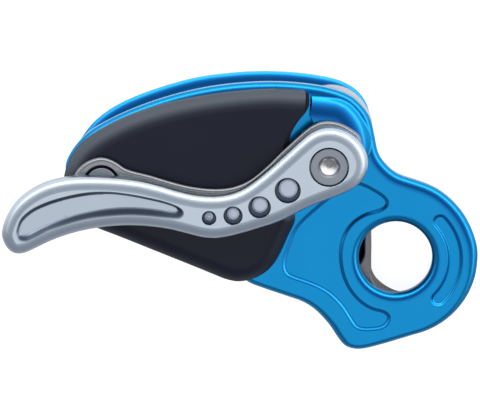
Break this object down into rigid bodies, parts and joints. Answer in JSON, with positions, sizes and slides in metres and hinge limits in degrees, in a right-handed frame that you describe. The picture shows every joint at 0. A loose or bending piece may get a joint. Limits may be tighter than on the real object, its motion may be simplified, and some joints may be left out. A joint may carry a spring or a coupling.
{
  "type": "assisted braking belay device",
  "caption": "Assisted braking belay device: two plates round a rope channel, a locking cam, a carabiner hole and a long curved release lever.",
  "frame": {"origin": "middle of the object's box, on the surface that the rear plate lies on", "axes": "+Z out of the front face towards the lever, +X from the lever's tip towards the carabiner hole, +Y towards the cam side"},
  "size_m": [0.1296, 0.0752, 0.0329],
  "materials": {
    "blue_anodised": "blue anodised forged aluminium, polished",
    "satin_alloy": "satin aluminium",
    "polished_steel": "polished stainless steel",
    "grey_steel": "machined steel",
    "dark_cover": "dark moulded nylon, satin",
    "bush_bronze": "bearing bronze",
    "guide_plastic": "black glass-filled nylon"
  },
  "bodies": {
    "frame": {"block_screw_1": "grey_steel", "block_screw_2": "grey_steel", "block_screw_3": "grey_steel", "bolt_washer": "grey_steel", "cam_spring": "polished_steel", "cam_stop_pin": "grey_steel", "clutch_spring": "polished_steel", "cover_screw_1": "grey_steel", "cover_screw_2": "grey_steel", "cover_screw_3": "grey_steel", "friction_block": "polished_steel", "front_cover": "dark_cover", "front_plate": "blue_anodised", "front_washer": "grey_steel", "guide_screw_1": "grey_steel", "guide_screw_2": "grey_steel", "lever_spring": "polished_steel", "main_axle": "grey_steel", "pivot_bolt": "grey_steel", "post_screw": "grey_steel", "rear_washer": "grey_steel", "rope_guide": "guide_plastic", "rope_post": "grey_steel"},
    "side_plate": {"rear_plate": "blue_anodised", "plate_bush": "bush_bronze"},
    "cam_group": {"cam": "polished_steel", "cam_bush": "bush_bronze", "drive_pin_1": "grey_steel", "drive_pin_2": "grey_steel", "clutch_disc": "grey_steel"},
    "lever": {"lever_arm": "polished_steel", "lever_hub": "grey_steel", "lever_grip": "satin_alloy", "eye_stud": "polished_steel", "detent_ball_1": "polished_steel", "detent_ball_2": "polished_steel", "detent_ball_3": "polished_steel"}
  },
  "joints": [
    {"name": "side_plate_swing", "type": "hinge", "parent": "frame", "child": "side_plate", "pos_m": [0.02369, 0.01624, 0], "axis": [0, 0, 1], "range_deg": [0, 110]},
    {"name": "cam_lock", "type": "hinge", "parent": "frame", "child": "cam_group", "pos_m": [0.02369, 0.01624, 0], "axis": [0, 0, 1], "range_deg": [-24, 0], "stiffness_Nm_per_rad": 0.02},
    {"name": "lever_release", "type": "hinge", "parent": "frame", "child": "lever", "pos_m": [0.02369, 0.01624, 0], "axis": [0, 0, 1], "range_deg": [0, 80], "stiffness_Nm_per_rad": 0.03}
  ]
}
